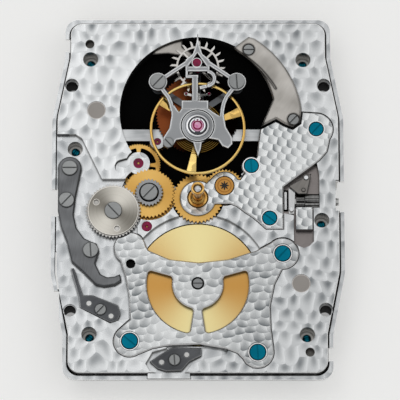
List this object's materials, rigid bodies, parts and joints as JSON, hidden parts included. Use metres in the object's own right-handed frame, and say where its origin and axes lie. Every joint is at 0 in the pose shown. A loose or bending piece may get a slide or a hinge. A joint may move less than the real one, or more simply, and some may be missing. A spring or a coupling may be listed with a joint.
{
  "type": "mechanical watch movement",
  "caption": "Hand-wound rectangular watch movement with a tourbillon cage in a round window, an open going train, a barrel under its bridge and keyless works.",
  "frame": {"origin": "middle of the outline, on the lowest face of the back plate", "axes": "+X towards three o'clock, along the winding stem; +Y towards twelve o'clock, the long way of the plate; +Z out of the dial side, along the arbors"},
  "size_m": [0.0294, 0.0372, 0.0083],
  "materials": {
    "rhodium_plate": "rhodium plated, circular graining in overlapping spots",
    "well_black": "blackened, matt",
    "copper_alloy": "brushed copper alloy",
    "gilt_brass": "gilt, circular grained",
    "blued_steel": "heat blued, polished",
    "polished_steel": "polished",
    "satin_steel": "satin",
    "grey_steel": "dark brushed",
    "spring_steel": "hardened spring steel",
    "bronze": "turned bronze",
    "ruby": "polished synthetic ruby",
    "nickel_disc": "flat turned nickel"
  },
  "bodies": {
    "movement": {"base_plate": "rhodium_plate", "back_plate": "rhodium_plate", "tourbillon_well": "well_black", "cage_lower_bridge": "rhodium_plate", "fixed_wheel": "copper_alloy", "side_arm": "satin_steel", "third_cock": "rhodium_plate", "train_bridge": "rhodium_plate", "barrel_bridge": "rhodium_plate", "guard": "satin_steel", "bronze_bush": "bronze", "train_jewels": "ruby", "jumper_spring": "grey_steel", "barrel_spring": "grey_steel", "bridge_screws": "blued_steel", "plate_screws": "blued_steel", "steel_screws": "polished_steel", "spring_pins": "polished_steel", "plug_discs": "nickel_disc", "wheel_screws": "polished_steel", "setting_block": "rhodium_plate"},
    "barrel": {"barrel_drum": "gilt_brass", "mainspring": "spring_steel"},
    "ratchet": {"barrel_arbor": "polished_steel", "ratchet_wheel": "polished_steel"},
    "winding_idler": {"winding_wheel": "polished_steel"},
    "crown": {"crown_wheel": "polished_steel"},
    "click": {"click": "polished_steel"},
    "second": {"second_wheel": "gilt_brass"},
    "centre": {"centre_arbor": "polished_steel", "centre_wheel": "gilt_brass", "cannon_pinion": "gilt_brass"},
    "intermediate": {"intermediate_wheel": "gilt_brass", "intermediate_lower_wheel": "gilt_brass", "intermediate_pinion": "polished_steel"},
    "calendar": {"calendar_wheel": "gilt_brass", "calendar_disc": "satin_steel"},
    "third": {"third_wheel": "gilt_brass"},
    "fourth": {"fourth_wheel": "gilt_brass"},
    "setting": {"setting_wheel": "gilt_brass"},
    "cage": {"cage_arbor": "polished_steel", "cage_plate": "polished_steel", "cage_pillars": "polished_steel", "cage_bridge": "polished_steel", "cage_screws": "polished_steel", "cage_jewels": "ruby"},
    "escape": {"escape_wheel": "polished_steel", "escape_arbor": "polished_steel"},
    "pallet": {"pallet_lever": "polished_steel", "pallet_stones": "ruby"},
    "balance": {"balance_wheel": "gilt_brass", "balance_staff": "polished_steel", "hairspring": "spring_steel"},
    "winding": {"winding_pinion": "polished_steel"},
    "stem": {"winding_stem": "polished_steel"},
    "clutch": {"sliding_clutch": "polished_steel"},
    "setting_lever": {"setting_lever": "polished_steel"},
    "yoke": {"yoke": "polished_steel"},
    "corrector": {"corrector_lever": "grey_steel"}
  },
  "joints": [
    {"name": "cage_spin", "type": "hinge", "parent": "movement", "child": "cage", "pos_m": [-0.00002, 0.00857, 0.002], "axis": [0, 0, 1], "continuous": true},
    {"name": "fourth_spin", "type": "hinge", "parent": "movement", "child": "fourth", "pos_m": [-0.00406, 0.00582, 0.002], "axis": [0, 0, 1], "continuous": true},
    {"name": "third_spin", "type": "hinge", "parent": "movement", "child": "third", "pos_m": [-0.00596, 0.00353, 0.002], "axis": [0, 0, 1], "continuous": true},
    {"name": "intermediate_spin", "type": "hinge", "parent": "movement", "child": "intermediate", "pos_m": [-0.00487, 0.0003, 0.002], "axis": [0, 0, 1], "continuous": true},
    {"name": "centre_spin", "type": "hinge", "parent": "movement", "child": "centre", "pos_m": [0, -0.00022, 0.002], "axis": [0, 0, 1], "continuous": true},
    {"name": "calendar_spin", "type": "hinge", "parent": "movement", "child": "calendar", "pos_m": [-0.00844, -0.0016, 0.002], "axis": [0, 0, 1], "continuous": true},
    {"name": "setting_wheel_spin", "type": "hinge", "parent": "movement", "child": "setting", "pos_m": [0.00266, 0.00102, 0.002], "axis": [0, 0, 1], "continuous": true},
    {"name": "second_spin", "type": "hinge", "parent": "movement", "child": "second", "pos_m": [-0.00508, -0.00316, 0.002], "axis": [0, 0, 1], "continuous": true},
    {"name": "barrel_spin", "type": "hinge", "parent": "movement", "child": "barrel", "pos_m": [0, -0.00902, 0.002], "axis": [0, 0, 1], "continuous": true},
    {"name": "escape_spin", "type": "hinge", "parent": "cage", "child": "escape", "pos_m": [-0.00002, 0.01322, 0.004], "axis": [0, 0, 1], "continuous": true},
    {"name": "balance_swing", "type": "hinge", "parent": "cage", "child": "balance", "pos_m": [-0.00002, 0.00662, 0.005], "axis": [0, 0, 1], "range_deg": [-270, 270]},
    {"name": "pallet_pivot", "type": "hinge", "parent": "cage", "child": "pallet", "pos_m": [-0.00002, 0.01014, 0.0045], "axis": [0, 0, 1], "range_deg": [-5, 5]},
    {"name": "ratchet_spin", "type": "hinge", "parent": "movement", "child": "ratchet", "pos_m": [0, -0.00902, 0.001], "axis": [0, 0, 1], "continuous": true},
    {"name": "winding_idler_spin", "type": "hinge", "parent": "movement", "child": "winding_idler", "pos_m": [0.00608, -0.00337, 0.001], "axis": [0, 0, 1], "continuous": true},
    {"name": "crown_spin", "type": "hinge", "parent": "movement", "child": "crown", "pos_m": [0.00938, -0.00031, 0.001], "axis": [0, 0, 1], "continuous": true},
    {"name": "winding_spin", "type": "hinge", "parent": "movement", "child": "winding", "pos_m": [0.01074, -0.00031, 0.0027], "axis": [1, 0, 0], "continuous": true},
    {"name": "click_pivot", "type": "hinge", "parent": "movement", "child": "click", "pos_m": [0.00672, -0.01372, 0.001], "axis": [0, 0, 1], "range_deg": [0, 6]},
    {"name": "stem_slide", "type": "slide", "parent": "winding", "child": "stem", "axis": [1, 0, 0], "range_m": [0, 0.00025]},
    {"name": "clutch_slide", "type": "slide", "parent": "winding", "child": "clutch", "axis": [1, 0, 0], "range_m": [-0.00018, 0]},
    {"name": "setting_lever_pivot", "type": "hinge", "parent": "movement", "child": "setting_lever", "pos_m": [0.01085, 0.00191, 0.0037], "axis": [0, 0, 1], "range_deg": [0, 10.91]},
    {"name": "yoke_pivot", "type": "hinge", "parent": "movement", "child": "yoke", "pos_m": [0.00936, -0.00138, 0.0035], "axis": [0, 0, 1], "range_deg": [0, 9.58]},
    {"name": "corrector_pivot", "type": "hinge", "parent": "movement", "child": "corrector", "pos_m": [-0.01283, 0.00289, 0.0036], "axis": [0, 0, 1], "range_deg": [-1, 1]}
  ],
  "couplings": [
    {"joint": "fourth_spin", "follows": "cage_spin", "ratio": -0.15},
    {"joint": "third_spin", "follows": "cage_spin", "ratio": 0.055556},
    {"joint": "intermediate_spin", "follows": "cage_spin", "ratio": -0.016667},
    {"joint": "centre_spin", "follows": "cage_spin", "ratio": 0.016667},
    {"joint": "calendar_spin", "follows": "cage_spin", "ratio": 0.0083333},
    {"joint": "setting_wheel_spin", "follows": "cage_spin", "ratio": -0.083333},
    {"joint": "second_spin", "follows": "cage_spin", "ratio": -0.0022222},
    {"joint": "barrel_spin", "follows": "cage_spin", "ratio": 0.0004321},
    {"joint": "escape_spin", "follows": "cage_spin", "ratio": 7.8},
    {"joint": "winding_idler_spin", "follows": "ratchet_spin", "ratio": -2.9524},
    {"joint": "crown_spin", "follows": "ratchet_spin", "ratio": 2.5833},
    {"joint": "winding_spin", "follows": "ratchet_spin", "ratio": 7.75},
    {"joint": "clutch_slide", "follows": "stem_slide", "ratio": -0.72},
    {"joint": "setting_lever_pivot", "follows": "stem_slide", "rad_per_m": 761.06},
    {"joint": "yoke_pivot", "follows": "stem_slide", "rad_per_m": 668.55}
  ]
}
